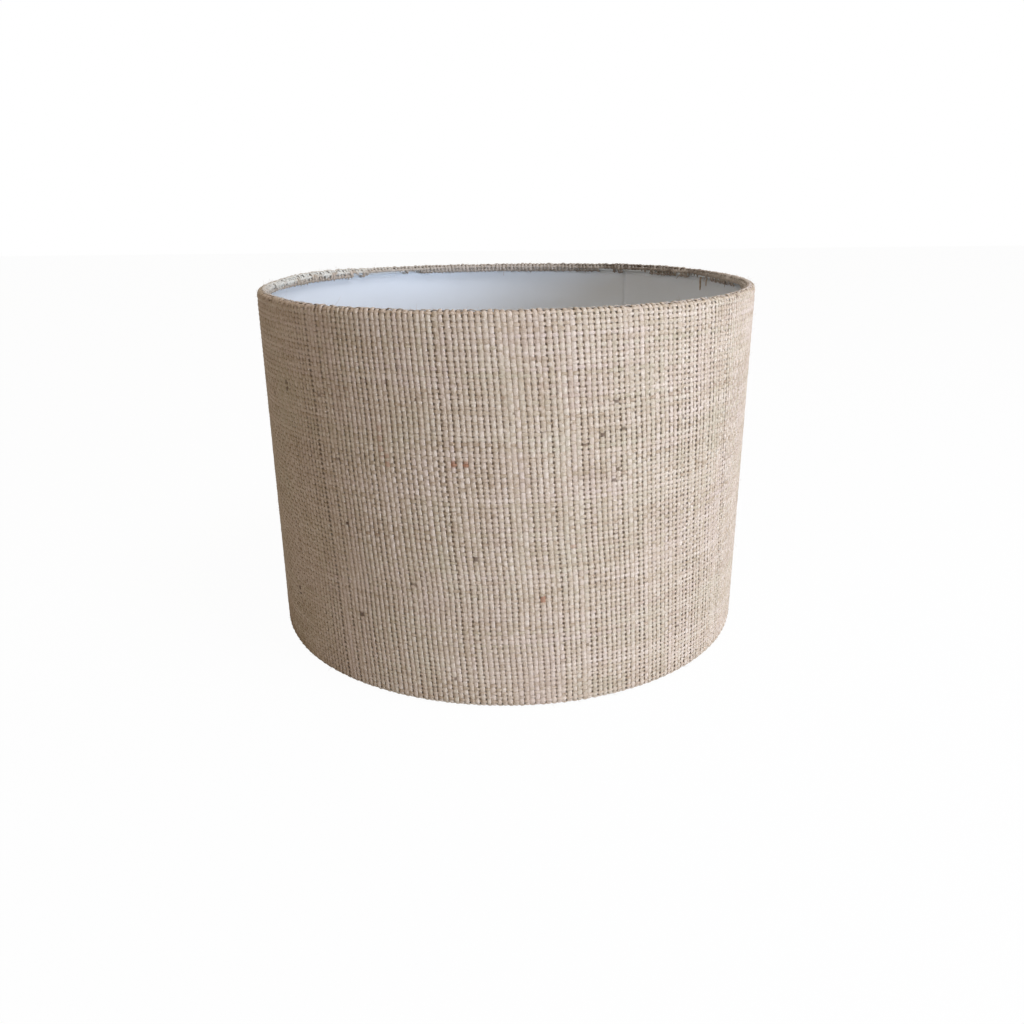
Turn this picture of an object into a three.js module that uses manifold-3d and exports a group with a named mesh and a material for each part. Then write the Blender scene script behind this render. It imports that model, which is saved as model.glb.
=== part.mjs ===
// A straight drum lamp shade. Jute cloth is laminated to a white plastic liner, and its edges are rolled over
// two wire rings. The lower ring carries a three-armed fitter with a lampholder washer and a lift-out reducer.
// Millimetres, +Z up. The origin is the centre of the circle that the shade stands on.

import * as THREE from 'three';
import { mergeVertices } from 'three/addons/utils/BufferGeometryUtils.js';
import Module from 'manifold-3d';

const wasm = await Module();
wasm.setup();

// Overall size, over the cloth
const outerDiameter = 300;
const shadeHeight = 212;

// Cloth, liner and tape
const clothThickness = 1.2;
const linerThickness = 0.3;
const tapeThickness = 0.2;
const layGap = 0.2; // between two layers that are glued or clamped together
const crestFlat = 1.0; // flat land along the crest of each rolled edge
const hemDepth = 7; // from the crest down to the raw edge of the turned-in cloth

// The closing seam, right of the middle of the back
const seamAngle = THREE.MathUtils.degToRad(54);
const seamLap = 12;
const seamStep = 1.5; // width of the step where the upper end leaves the wall
const seamTapeWidth = 8;
const linerLap = 10;
const linerLapInset = 6; // the liner's lap stops this far short of its two edges

// Wire frame and fitter
const wireDiameter = 2.5;
const fitterRise = 30; // from the base up to the underside of the washer
const washerHole = 42;
const washerWidth = 7;
const washerThickness = 1.5;
const washerBevel = 0.3;
const armCount = 3;
const armFirstAngle = Math.PI / 2;
const armFoot = 7; // level stretch of each arm at the lower ring
const armSeatInset = 1.5; // from the edge of the washer's hole to the end of an arm
const armShoulder = 8; // level stretch of each arm outside the washer
const armBend = 5; // how far each bend reaches along its two legs
const notchClearance = 0.75; // round an arm where it passes the turned-in cloth

// Reducer for narrower lampholders
const reducerHole = 29;
const reducerClearance = 0.4; // between its spigot and the washer's hole
const reducerFlangeWidth = 4.5; // past the edge of the washer's hole, less than the washer's width
const reducerFlangeThickness = 2;
const reducerSpigotDepth = 2.6;

// Facets. All the large rings share one count, so that their flats lie over each other.
const drumSegments = 60;
const fitterSegments = 48;
const wireSides = 8;
const armSteps = 26;
const rollSteps = 3;
const tapeSteps = 5;
const seamSteps = 3;

// Worked out from the sizes above
const outerRadius = outerDiameter / 2;
const linerOuterRadius = outerRadius - clothThickness - layGap;
const linerInnerRadius = linerOuterRadius - linerThickness;
const tapeOuterRadius = wireDiameter / 2 + layGap + tapeThickness;
const tapeInnerRadius = tapeOuterRadius - tapeThickness;
const ringRadius = linerInnerRadius - layGap - tapeOuterRadius;
const ringInset = clothThickness + layGap + tapeOuterRadius; // height of the lower ring's centre
const hemOuterRadius = ringRadius - tapeOuterRadius - layGap;
const hemInnerRadius = hemOuterRadius - clothThickness;
const rollRadius = (outerRadius - hemInnerRadius - crestFlat) / 2;
const rollInnerRadius = rollRadius - clothThickness;
const washerHoleRadius = washerHole / 2;
const washerOuterRadius = washerHoleRadius + washerWidth;
const armEndRadius = washerHoleRadius + armSeatInset;
const armEndHeight = fitterRise - layGap - wireDiameter / 2;
const armStartRadius = ringRadius - wireDiameter / 2 - layGap;

const jute = new THREE.MeshStandardMaterial({ color: 0xb7a083, roughness: 0.95, metalness: 0 });
const linerWhite = new THREE.MeshStandardMaterial({ color: 0xe4e8f0, roughness: 0.5, metalness: 0 });
const wireWhite = new THREE.MeshStandardMaterial({ color: 0xe9e8e4, roughness: 0.4, metalness: 0.1 });
const tapeClear = new THREE.MeshStandardMaterial({ color: 0xd9d6cc, roughness: 0.4, metalness: 0 });
const reducerWhite = new THREE.MeshStandardMaterial({ color: 0xf1f1ee, roughness: 0.45, metalness: 0 });

// ---- helpers ----

// Only positions, with shared corners merged, so that the mesh is one closed surface
function closed(geometry) {
  geometry.deleteAttribute('normal');
  geometry.deleteAttribute('uv');
  return mergeVertices(geometry, 1e-5);
}

function solidOf(geometry) {
  const merged = closed(geometry.clone());
  return new wasm.Manifold(new wasm.Mesh({
    numProp: 3,
    vertProperties: new Float32Array(merged.attributes.position.array),
    triVerts: new Uint32Array(merged.index.array),
  }));
}

function geometryOf(solid) {
  const mesh = solid.getMesh();
  const geometry = new THREE.BufferGeometry();
  geometry.setAttribute('position', new THREE.BufferAttribute(new Float32Array(mesh.vertProperties), 3));
  geometry.setIndex(new THREE.BufferAttribute(new Uint32Array(mesh.triVerts), 1));
  return geometry;
}

// Points on an arc, with angles in degrees, both ends included
function arc(x, y, radius, from, to, steps) {
  return Array.from({ length: steps + 1 }, (_, i) => {
    const angle = THREE.MathUtils.degToRad(from + ((to - from) * i) / steps);
    return new THREE.Vector2(x + radius * Math.cos(angle), y + radius * Math.sin(angle));
  });
}

// Turns a closed section of (radius, height) points, given anticlockwise, about the Z axis
function revolve(section, segments) {
  const geometry = new THREE.LatheGeometry([...section, section[0].clone()], segments);
  return closed(geometry.rotateX(Math.PI / 2));
}

// An upright strip that follows the drum: a sector of a ring between two heights
function wallStrip(innerRadius, strip, fromAngle, toAngle, low, high) {
  const from = THREE.MathUtils.radToDeg(fromAngle);
  const to = THREE.MathUtils.radToDeg(toAngle);
  const outline = new THREE.Shape([
    ...arc(0, 0, innerRadius + strip, from, to, seamSteps),
    ...arc(0, 0, innerRadius, to, from, seamSteps),
  ]);
  const geometry = new THREE.ExtrudeGeometry(outline, { depth: high - low, bevelEnabled: false });
  return geometry.translate(0, 0, low);
}

// ---- cloth, liner and tape ----

// Wall, two rolled edges and the two strips turned in behind the rings
function coverSection() {
  const outerX = outerRadius - rollRadius;
  const innerX = outerX - crestFlat;
  const topZ = shadeHeight - rollRadius;
  const baseZ = rollRadius;
  return [
    ...arc(outerX, topZ, rollRadius, 0, 90, rollSteps),
    ...arc(innerX, topZ, rollRadius, 90, 180, rollSteps),
    new THREE.Vector2(hemInnerRadius, shadeHeight - hemDepth),
    new THREE.Vector2(hemOuterRadius, shadeHeight - hemDepth),
    ...arc(innerX, topZ, rollInnerRadius, 180, 90, rollSteps),
    ...arc(outerX, topZ, rollInnerRadius, 90, 0, rollSteps),
    ...arc(outerX, baseZ, rollInnerRadius, 0, -90, rollSteps),
    ...arc(innerX, baseZ, rollInnerRadius, -90, -180, rollSteps),
    new THREE.Vector2(hemOuterRadius, hemDepth),
    new THREE.Vector2(hemInnerRadius, hemDepth),
    ...arc(innerX, baseZ, rollRadius, -180, -90, rollSteps),
    ...arc(outerX, baseZ, rollRadius, -90, 0, rollSteps),
  ];
}

// The upper end of the cloth steps out over the lower end, and leaves room for the tape between them
function coverLap() {
  const lapAngle = seamLap / outerRadius;
  const stepAngle = seamStep / outerRadius;
  const lapRadius = outerRadius + 2 * layGap + tapeThickness;
  const start = seamAngle - lapAngle / 2;
  const end = seamAngle + lapAngle / 2;
  const wallMiddle = outerRadius - clothThickness / 2;
  const low = rollRadius;
  const high = shadeHeight - rollRadius;
  const flap = wallStrip(lapRadius, clothThickness, start, end, low, high);
  const step = wallStrip(wallMiddle, lapRadius + clothThickness - wallMiddle, end - stepAngle, end, low, high);
  return solidOf(flap).add(solidOf(step));
}

// A slot in the lower turned-in strip, where an arm leaves the ring
function armNotch(angle) {
  const width = wireDiameter + 2 * notchClearance;
  const low = ringInset - width / 2;
  const high = hemDepth + notchClearance;
  const inner = hemInnerRadius - notchClearance;
  const outer = armStartRadius + layGap;
  const box = new THREE.BoxGeometry(outer - inner, width, high - low);
  return solidOf(box.translate((inner + outer) / 2, 0, (low + high) / 2).rotateZ(angle));
}

function clothCover() {
  let cover = solidOf(revolve(coverSection(), drumSegments)).add(coverLap());
  for (const angle of armAngles()) {
    cover = cover.subtract(armNotch(angle));
  }
  return geometryOf(cover);
}

function liner() {
  const low = rollRadius + layGap;
  const high = shadeHeight - low;
  const wall = revolve([
    new THREE.Vector2(linerOuterRadius, low),
    new THREE.Vector2(linerOuterRadius, high),
    new THREE.Vector2(linerInnerRadius, high),
    new THREE.Vector2(linerInnerRadius, low),
  ], drumSegments);
  const lapAngle = linerLap / linerInnerRadius;
  const stepAngle = seamStep / linerInnerRadius;
  const lapRadius = linerInnerRadius - 2 * layGap - linerThickness;
  const start = seamAngle - lapAngle / 2;
  const end = seamAngle + lapAngle / 2;
  const wallMiddle = linerOuterRadius - linerThickness / 2;
  const lapLow = low + linerLapInset;
  const lapHigh = high - linerLapInset;
  const flap = wallStrip(lapRadius, linerThickness, start, end, lapLow, lapHigh);
  const step = wallStrip(lapRadius, wallMiddle - lapRadius, end - stepAngle, end, lapLow, lapHigh);
  return geometryOf(solidOf(wall).add(solidOf(flap)).add(solidOf(step)));
}

// The strip of double-sided tape that closes the seam
function seamTape() {
  const halfAngle = seamTapeWidth / outerRadius / 2;
  const inset = 2 * rollRadius;
  return closed(wallStrip(
    outerRadius + layGap, tapeThickness,
    seamAngle - halfAngle, seamAngle + halfAngle,
    inset, shadeHeight - inset,
  ));
}

// Tape over the outer side and the crest of a ring's wire, which the cloth sticks to
function ringTape(centreHeight, isTop) {
  const outerEnd = -40;
  const crestEnd = 120;
  const section = [
    ...arc(ringRadius, 0, tapeOuterRadius, outerEnd, crestEnd, tapeSteps),
    ...arc(ringRadius, 0, tapeInnerRadius, crestEnd, outerEnd, tapeSteps),
  ];
  if (!isTop) {
    section.forEach((point) => { point.y = -point.y; });
    section.reverse();
  }
  section.forEach((point) => { point.y += centreHeight; });
  return revolve(section, drumSegments);
}

// ---- wire frame and fitter ----

function wireRing(centreHeight) {
  const geometry = new THREE.TorusGeometry(ringRadius, wireDiameter / 2, wireSides, drumSegments);
  return closed(geometry.translate(0, 0, centreHeight));
}

function armAngles() {
  return Array.from({ length: armCount }, (_, i) => armFirstAngle + (i * 2 * Math.PI) / armCount);
}

// Level at the ring, a straight climb, and level again under the washer
function armPath() {
  const start = new THREE.Vector3(armStartRadius, 0, ringInset);
  const foot = new THREE.Vector3(armStartRadius - armFoot, 0, ringInset);
  const shoulder = new THREE.Vector3(washerOuterRadius + armShoulder, 0, armEndHeight);
  const end = new THREE.Vector3(armEndRadius, 0, armEndHeight);
  const climb = shoulder.clone().sub(foot).setLength(armBend);
  const inward = new THREE.Vector3(-armBend, 0, 0);
  const path = new THREE.CurvePath();
  path.add(new THREE.LineCurve3(start, foot.clone().sub(inward)));
  path.add(new THREE.QuadraticBezierCurve3(foot.clone().sub(inward), foot, foot.clone().add(climb)));
  path.add(new THREE.LineCurve3(foot.clone().add(climb), shoulder.clone().sub(climb)));
  path.add(new THREE.QuadraticBezierCurve3(shoulder.clone().sub(climb), shoulder, shoulder.clone().add(inward)));
  path.add(new THREE.LineCurve3(shoulder.clone().add(inward), end));
  return path;
}

function fitterArm() {
  const section = new THREE.Shape(arc(0, 0, wireDiameter / 2, 0, 360, wireSides).slice(0, -1));
  return closed(new THREE.ExtrudeGeometry(section, { steps: armSteps, extrudePath: armPath() }));
}

function washer() {
  const low = fitterRise;
  const high = fitterRise + washerThickness;
  return revolve([
    new THREE.Vector2(washerOuterRadius - washerBevel, low),
    new THREE.Vector2(washerOuterRadius, low + washerBevel),
    new THREE.Vector2(washerOuterRadius, high - washerBevel),
    new THREE.Vector2(washerOuterRadius - washerBevel, high),
    new THREE.Vector2(washerHoleRadius, high),
    new THREE.Vector2(washerHoleRadius, low),
  ], fitterSegments);
}

function reducer() {
  const seat = fitterRise + washerThickness + layGap;
  const spigotRadius = washerHoleRadius - reducerClearance;
  const flangeRadius = washerHoleRadius + reducerFlangeWidth;
  return revolve([
    new THREE.Vector2(spigotRadius, seat - reducerSpigotDepth),
    new THREE.Vector2(spigotRadius, seat),
    new THREE.Vector2(flangeRadius, seat),
    new THREE.Vector2(flangeRadius, seat + reducerFlangeThickness - washerBevel),
    new THREE.Vector2(flangeRadius - washerBevel, seat + reducerFlangeThickness),
    new THREE.Vector2(reducerHole / 2, seat + reducerFlangeThickness),
    new THREE.Vector2(reducerHole / 2, seat - reducerSpigotDepth),
  ], fitterSegments);
}

// ---- assembly ----

function addPiece(parent, name, geometry, material) {
  const mesh = new THREE.Mesh(geometry, material);
  mesh.name = name;
  parent.add(mesh);
  return mesh;
}

const shade = new THREE.Group();
addPiece(shade, 'jute_cover', clothCover(), jute);
addPiece(shade, 'liner', liner(), linerWhite);
addPiece(shade, 'seam_tape', seamTape(), tapeClear);
addPiece(shade, 'top_ring', wireRing(shadeHeight - ringInset), wireWhite);
addPiece(shade, 'bottom_ring', wireRing(ringInset), wireWhite);
addPiece(shade, 'top_ring_tape', ringTape(shadeHeight - ringInset, true), tapeClear);
addPiece(shade, 'bottom_ring_tape', ringTape(ringInset, false), tapeClear);
armAngles().forEach((angle, i) => {
  addPiece(shade, `fitter_arm_${i + 1}`, fitterArm(), wireWhite).rotation.z = angle;
});
addPiece(shade, 'fitter_washer', washer(), wireWhite);
addPiece(shade, 'reducer_ring', reducer(), reducerWhite);

export default shade;
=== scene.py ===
import math

import bpy
import numpy as np
from mathutils import Matrix, Vector


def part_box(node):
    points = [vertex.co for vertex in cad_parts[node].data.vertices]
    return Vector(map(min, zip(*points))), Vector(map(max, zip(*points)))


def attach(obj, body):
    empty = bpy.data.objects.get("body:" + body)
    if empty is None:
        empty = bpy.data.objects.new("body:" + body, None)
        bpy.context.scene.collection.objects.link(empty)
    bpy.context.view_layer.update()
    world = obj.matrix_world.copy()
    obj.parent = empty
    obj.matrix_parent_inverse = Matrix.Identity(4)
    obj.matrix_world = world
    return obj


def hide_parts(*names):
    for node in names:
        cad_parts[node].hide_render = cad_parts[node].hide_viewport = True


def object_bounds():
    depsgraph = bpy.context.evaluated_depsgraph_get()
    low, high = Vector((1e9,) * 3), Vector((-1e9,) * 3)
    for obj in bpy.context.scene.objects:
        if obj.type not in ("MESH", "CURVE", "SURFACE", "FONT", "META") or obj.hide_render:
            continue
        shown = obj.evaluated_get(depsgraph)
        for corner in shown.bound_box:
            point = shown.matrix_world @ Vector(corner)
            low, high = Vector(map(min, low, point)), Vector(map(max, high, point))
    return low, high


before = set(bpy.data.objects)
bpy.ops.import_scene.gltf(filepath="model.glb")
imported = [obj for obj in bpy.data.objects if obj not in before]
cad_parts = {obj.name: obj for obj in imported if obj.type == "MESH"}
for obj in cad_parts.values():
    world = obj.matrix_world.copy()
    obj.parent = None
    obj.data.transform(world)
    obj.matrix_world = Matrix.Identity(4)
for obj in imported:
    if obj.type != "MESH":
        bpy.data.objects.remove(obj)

mm = 0.001
cadLow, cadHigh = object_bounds()
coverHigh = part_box("jute_cover")[1]
linerLow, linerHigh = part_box("liner")
ringLow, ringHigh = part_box("top_ring")
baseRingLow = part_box("bottom_ring")[0]
washerLow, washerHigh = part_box("fitter_washer")
reducerLow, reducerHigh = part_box("reducer_ring")

shadeRadius = coverHigh.x
shadeHeight = coverHigh.z
linerOuter = linerHigh.x
wireRadius = (ringHigh.z - ringLow.z) / 2
ringRadius = ringHigh.x - wireRadius
seamAngle = math.radians(54)  # right of the middle of the back
linerThickness = 0.3 * mm
armAngles = [math.radians(90 + 120 * i) for i in range(3)]


# Meshes made from arrays

def linkMesh(name, mesh):
    piece = bpy.data.objects.new(name, mesh)
    bpy.context.scene.collection.objects.link(piece)
    return piece


def meshFromArrays(name, points, quads, caps=None):
    # points (n, 3), quads (m, 4), and caps (k, sides) that close the ends of yarns
    mesh = bpy.data.meshes.new(name)
    mesh.vertices.add(len(points))
    mesh.vertices.foreach_set("co", points.astype(np.float32).ravel())
    corners, starts = quads.ravel(), np.arange(len(quads)) * 4
    if caps is not None:
        starts = np.concatenate([starts, len(corners) + np.arange(len(caps)) * caps.shape[1]])
        corners = np.concatenate([corners, caps.ravel()])
    mesh.loops.add(len(corners))
    mesh.loops.foreach_set("vertex_index", corners.astype(np.int32))
    mesh.polygons.add(len(starts))
    mesh.polygons.foreach_set("loop_start", starts.astype(np.int32))
    mesh.polygons.foreach_set("use_smooth", np.ones(len(starts), bool))
    mesh.update(calc_edges=True)
    return linkMesh(name, mesh)


def turnedMesh(name, profile, around, low=0.0):
    # a closed profile of (radius, height) points turned about the shade's axis
    profile = np.array(profile)
    angles = np.arange(around) * 2 * math.pi / around
    points = np.stack([
        np.outer(np.cos(angles), profile[:, 0]),
        np.outer(np.sin(angles), profile[:, 0]),
        np.tile(profile[:, 1] + low, (around, 1)),
    ], axis=2).reshape(-1, 3)
    n = len(profile)
    i, j = np.meshgrid(np.arange(around), np.arange(n), indexing="ij")
    nextI, nextJ = (i + 1) % around, (j + 1) % n
    quads = np.stack([i * n + j, nextI * n + j, nextI * n + nextJ, i * n + nextJ], axis=2).reshape(-1, 4)
    return meshFromArrays(name, points, quads)


def addPointValues(piece, name, values):
    attribute = piece.data.attributes.new(name, "FLOAT", "POINT")
    attribute.data.foreach_set("value", np.asarray(values, np.float32).ravel())


def unitCircle(sides):
    return [(math.cos(a), math.sin(a)) for a in np.arange(sides) * 2 * math.pi / sides]


def sweepYarns(name, yarns, section):
    # centre, across and outward are (steps, 3) arrays, one for each yarn, and width and thick its
    # half sizes; section is its cross-section as (across, outward) pairs of size 1
    section = np.array(section)
    sides = len(section)
    points, quads, caps, base = [], [], [], 0
    for c, a, o, w, t in zip(*(yarns[key] for key in ("centre", "across", "outward", "width", "thick"))):
        steps = len(c)
        ring = (c[:, None, :]
                + a[:, None, :] * (w[:, None] * section[None, :, 0])[:, :, None]
                + o[:, None, :] * (t[:, None] * section[None, :, 1])[:, :, None])
        points.append(ring.reshape(-1, 3))
        i, j = np.meshgrid(np.arange(steps - 1), np.arange(sides), indexing="ij")
        after = (j + 1) % sides
        quads.append(base + np.stack([
            i * sides + j, i * sides + after, (i + 1) * sides + after, (i + 1) * sides + j,
        ], axis=2).reshape(-1, 4))
        caps.append(base + np.arange(sides)[::-1])
        caps.append(base + (steps - 1) * sides + np.arange(sides))
        base += steps * sides
    return meshFromArrays(name, np.concatenate(points), np.concatenate(quads), np.array(caps))


def waveField(u, s, seed, waves, shortest, longest):
    # smooth noise over the flat cloth, about -1 to 1; whole waves go round, so that its ends match
    rng = np.random.default_rng(seed)
    around = 2 * math.pi * shadeRadius
    total = 0
    for _ in range(waves):
        length = rng.uniform(shortest, longest)
        lean = rng.uniform(0, 2 * math.pi)
        turns = round(around * math.cos(lean) / length)
        total = total + np.sin(2 * math.pi * (turns * u / around + s * math.sin(lean) / length)
                               + rng.uniform(0, 2 * math.pi))
    return total / math.sqrt(waves)


# The cloth's middle surface: s runs up the outside from half height, over the ring and down inside

cloth = {
    "thickness": 1.2 * mm,
    "tuckAngle": math.radians(228),  # how far it follows the ring before it leaves for the liner
    "tuckLean": math.radians(48),
    "grooveDepth": 0.34 * mm,  # pressed in under the ring by the roller
    "grooveDrop": 5.6 * mm,
    "grooveWidth": 1.0 * mm,
    "baseGroove": 0.35,  # share of that groove at the lower ring
    "overWire": 0.6 * mm,  # tape and air between the wire and the strip inside it
    "offLiner": 0.25 * mm,  # air between the strip and the liner
    "tuckReach": 24 * mm,
    "seamLap": 12 * mm,
    "lapRise": 1.0 * mm,
    "lapRamp": 10 * mm,
    "lapPressed": 0.65,  # share of that rise that the rings press flat
}


def clothProfile():
    # tables of s, radius, height and normal for the upper half; the lower half mirrors it
    wallRadius = shadeRadius - cloth["thickness"] / 2
    rollInside = ringRadius - wireRadius - cloth["overWire"] - cloth["thickness"] / 2
    rollRadius = (wallRadius - rollInside) / 2
    rollCentre = wallRadius - rollRadius
    rollHeight = shadeHeight - cloth["thickness"] / 2 - rollRadius
    step = 0.1 * mm
    wall = np.arange(shadeHeight / 2, rollHeight, step)
    points = [np.stack([np.full_like(wall, wallRadius), wall], 1)]
    angles = np.arange(0, cloth["tuckAngle"], step / rollRadius)
    points.append(np.stack([rollCentre + rollRadius * np.cos(angles),
                            rollHeight + rollRadius * np.sin(angles)], 1))
    tuckEnd = linerOuter - linerThickness - cloth["thickness"] / 2 - cloth["offLiner"]
    lean = np.arange(step, cloth["tuckReach"], step)
    start = points[-1][-1]
    slope = np.minimum(lean * math.sin(cloth["tuckLean"]), tuckEnd - start[0])
    reach = np.gradient(slope, step)
    fall = np.cumsum(np.sqrt(np.maximum(1 - reach ** 2, 0))) * step
    points.append(np.stack([start[0] + slope, start[1] - fall], 1))
    line = np.concatenate(points)
    groove = (line[:, 1] - (shadeHeight - cloth["grooveDrop"])) / cloth["grooveWidth"]
    outside = line[:, 0] > wallRadius - 0.01 * mm
    line[:, 0] -= np.where(outside, cloth["grooveDepth"] * np.exp(-groove ** 2), 0)
    for _ in range(6):  # softens the joins
        line[1:-1] = (line[:-2] + 2 * line[1:-1] + line[2:]) / 4
    s = np.concatenate([[0], np.cumsum(np.linalg.norm(np.diff(line, axis=0), axis=1))])
    along = np.gradient(line, s, axis=0)
    along /= np.linalg.norm(along, axis=1)[:, None]
    return {"s": s, "r": line[:, 0], "z": line[:, 1], "nr": along[:, 1], "nz": -along[:, 0],
            "crest": s[int(line[:, 1].argmax())]}


profile = clothProfile()
middleRadius = shadeRadius - cloth["thickness"] / 2
seamLength = 2 * math.pi * middleRadius + cloth["seamLap"]


def onCloth(u, s, lift):
    # the point at u round the cloth and s along its profile, lifted off the middle surface,
    # with the outward normal and the directions along u and s
    half = np.abs(s)
    sign = np.where(s < 0, -1.0, 1.0)
    r = np.interp(half, profile["s"], profile["r"])
    z = np.interp(half, profile["s"], profile["z"])
    nr = np.interp(half, profile["s"], profile["nr"])
    nz = np.interp(half, profile["s"], profile["nz"]) * sign
    z = np.where(s < 0, shadeHeight - z, z)
    groove = cloth["grooveDepth"] * np.exp(-((z - cloth["grooveDrop"]) / cloth["grooveWidth"]) ** 2)
    r = r + np.where((s < 0) & (half < profile["crest"]), (1 - cloth["baseGroove"]) * groove, 0)
    lapStart = seamLength - cloth["seamLap"] - cloth["lapRamp"]
    rise = np.clip((u - lapStart) / cloth["lapRamp"], 0, 1)
    overRing = np.clip((half - profile["crest"] + 6 * mm) / (4 * mm), 0, 1)
    lift = lift + cloth["lapRise"] * rise * rise * (3 - 2 * rise) * (1 - cloth["lapPressed"] * overRing)
    angle = seamAngle + (u - cloth["seamLap"] / 2) / middleRadius
    outwards, upwards = rimSway(u, s)
    r = r + nr * lift + outwards
    z = z + nz * lift + upwards
    c, d = np.cos(angle), np.sin(angle)
    place = np.stack([r * c, r * d, z], -1)
    normal = np.stack([nr * c, nr * d, nz], -1)
    alongU = np.stack([-d, c, np.zeros_like(c)], -1)
    alongS = np.cross(normal, alongU)
    return place, normal, alongU, alongS


rim = {
    "waves": 0.3 * mm,  # the drum isn't perfectly round or level
    "leanIn": 0.3 * mm,  # the wall leans in a little towards the upper ring
    "leanSide": math.radians(196),  # most of all on this side
    # how far the cloth stands off the upper ring, in mm, at angles seen from above
    "stand": [(0, 0.3), (16, 0.7), (30, 0.9), (40, 1.0), (48, 0.6), (55, 0.5), (65, 0.1), (120, 0.0),
              (134, 0.4), (142, 1.2), (153, 1.8), (163, 1.4), (172, 0.3), (185, 0.0), (340, 0.0),
              (360, 0.3)],
    "standReach": 8 * mm,  # how far along the cloth that fades out
}


def rimSway(u, s):
    # how far the cloth is moved out and up from its plain shape
    angle = angleAt(u)
    up = np.clip(s / (shadeHeight / 2), 0, 1)
    sway = waveField(u, s, 11, 5, 260 * mm, 500 * mm) * rim["waves"]
    sway = sway - rim["leanIn"] * (1 + np.cos(angle - rim["leanSide"])) * up
    rise = waveField(u, 0 * s, 12, 4, 120 * mm, 420 * mm) * rim["waves"]
    rise = rise * np.clip(s / 100 / mm, -0.4, 1) ** 3
    angles, heights = zip(*rim["stand"])
    near = np.clip(1 - np.abs(s - profile["crest"] + 1 * mm) / rim["standReach"], 0, 1)
    stand = np.interp(np.degrees(angle), angles, heights) * mm * near * near * (3 - 2 * near)
    return sway, rise + stand


# Weave: warp yarns run up the drum and over the rings, weft yarns run round it

weave = {
    "warpCount": 320,
    "weftPitch": 2.62 * mm,
    "stepsPerPitch": 3,
    "lean": -0.068,  # the cloth was cut a little off its grain, so the warp leans
    "warpHalfWidth": 1.27 * mm,
    "warpHalfThick": 0.42 * mm,
    "warpCrimp": 0.07 * mm,
    "warpWander": 0.28 * mm,
    "warpWobble": 0.10 * mm,
    "weftHalfWidth": 1.06 * mm,  # where it floats over a warp yarn
    "weftNarrow": 0.30,  # share it loses where it dives between two of them
    "weftHalfThick": 0.29 * mm,
    "weftCrimp": 0.36 * mm,
    "weftWander": 0.30 * mm,
    "diveShade": 1.8,  # painted shade: how much darker a weft yarn is made where it dives between warp yarns
    "rimTone": 0.6,  # how much lighter the yarns are over the rings
    "speckle": 0.7,
    "lapFold": 1.1 * mm,  # how far the lap's edge is turned under
    "rimLumps": 0.26 * mm,
    "baseLumps": 0.3,  # share of those lumps at the lower ring, which stands flat
    "section": unitCircle(8),
}
warpPitch = seamLength / weave["warpCount"]

hem = {
    "topDrop": 6.1 * mm,  # along the cloth from the crest to the raw edge
    "baseDrop": 7.2 * mm,
    "ragged": 0.55 * mm,
    # how much deeper or shallower the upper strip was cut, in mm, at angles seen from above
    "cut": [(0, 0.6), (12, 0.3), (19, 0.1), (25, 0.1), (31, 1.5), (40, 1.9), (46, -0.8), (51, -0.7),
            (54, 0.5), (57, 0.3),
            (65, 1.2), (73, 1.4), (81, 1.9), (89, 2.2), (104, 2.2), (112, 1.8), (120, 0.2), (129, -0.2),
            (138, 0.9), (147, 1.3), (157, 1.0), (168, 2.0), (179, 2.7), (192, 1.5), (215, 0.2),
            (270, -0.4), (320, 0.3), (360, 0.6)],
    "snipHalfWidth": 3.2 * mm,  # cuts that let the fitter's arms through
    "snipDrop": 2.4 * mm,
    "fringe": 0.3 * mm,
    "paleAngle": math.radians(160),  # painted light: the strip is made lighter on this side, which faces the lamps
    "paleSpread": math.radians(34),
    "paintedShadeAngle": math.radians(44),  # painted shade: it is made darker on this one, which faces away from the lamps
    "paintedShadeSpread": math.radians(26),
    "frayAngle": math.radians(68),  # painted shade along its frayed edge, darkest here
    "fraySpread": math.radians(24),
    "frayDepth": 2.6 * mm,
}


def uAt(angle):
    # distance round the cloth of a direction seen from above
    turn = (angle - seamAngle) % (2 * math.pi)
    return turn * middleRadius + cloth["seamLap"] / 2


def angleAt(u):
    return (seamAngle + (u - cloth["seamLap"] / 2) / middleRadius) % (2 * math.pi)


def rawEdge(u, side):
    # s of the raw edge inside the upper (side 1) or lower (side -1) ring
    slow = waveField(u, 0 * u, 21 + side, 7, 18 * mm, 90 * mm)
    quick = waveField(u, 0 * u, 31 + side, 9, 5 * mm, 14 * mm)
    drop = hem["topDrop"] if side > 0 else hem["baseDrop"]
    edge = profile["crest"] + drop + hem["ragged"] * (0.8 * slow + 0.45 * quick)
    if side > 0:
        angles, extra = zip(*hem["cut"])
        edge = edge + np.interp(np.degrees(angleAt(u)), angles, extra) * mm
    else:
        for angle in armAngles:
            snip = np.abs(u - uAt(angle)) < hem["snipHalfWidth"]
            edge = np.where(snip, profile["crest"] + hem["snipDrop"], edge)
    return edge


def hemEnd(u, side):
    # s where a warp yarn is cut, just past the last weft yarn that still holds it
    rows = math.floor(rawEdge(np.array([u]), side)[0] / weave["weftPitch"] - 0.35)
    return (rows + 0.52) * weave["weftPitch"]


def crimp(phase):
    # flat floats with quick crossings between them
    return np.tanh(1.7 * np.cos(math.pi * phase)) / math.tanh(1.7)


def atRim(s):
    # 0 on the wall, 1 where the cloth turns over a ring and inside it
    return np.clip((np.abs(s) - profile["crest"] + 3.5 * mm) / (2.5 * mm), 0, 1)


def lumpsAlong(count, rng):
    noise = rng.normal(0, 1, count + 4)
    return (noise[:-4] + 2 * noise[1:-3] + 3 * noise[2:-2] + 2 * noise[3:-1] + noise[4:]) / 4.4


# painted light: the side of the turned-in strip that faces the lamps
def paintedLitSide(u):
    return np.exp(-((angleAt(u) - hem["paleAngle"]) / hem["paleSpread"]) ** 4)


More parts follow.
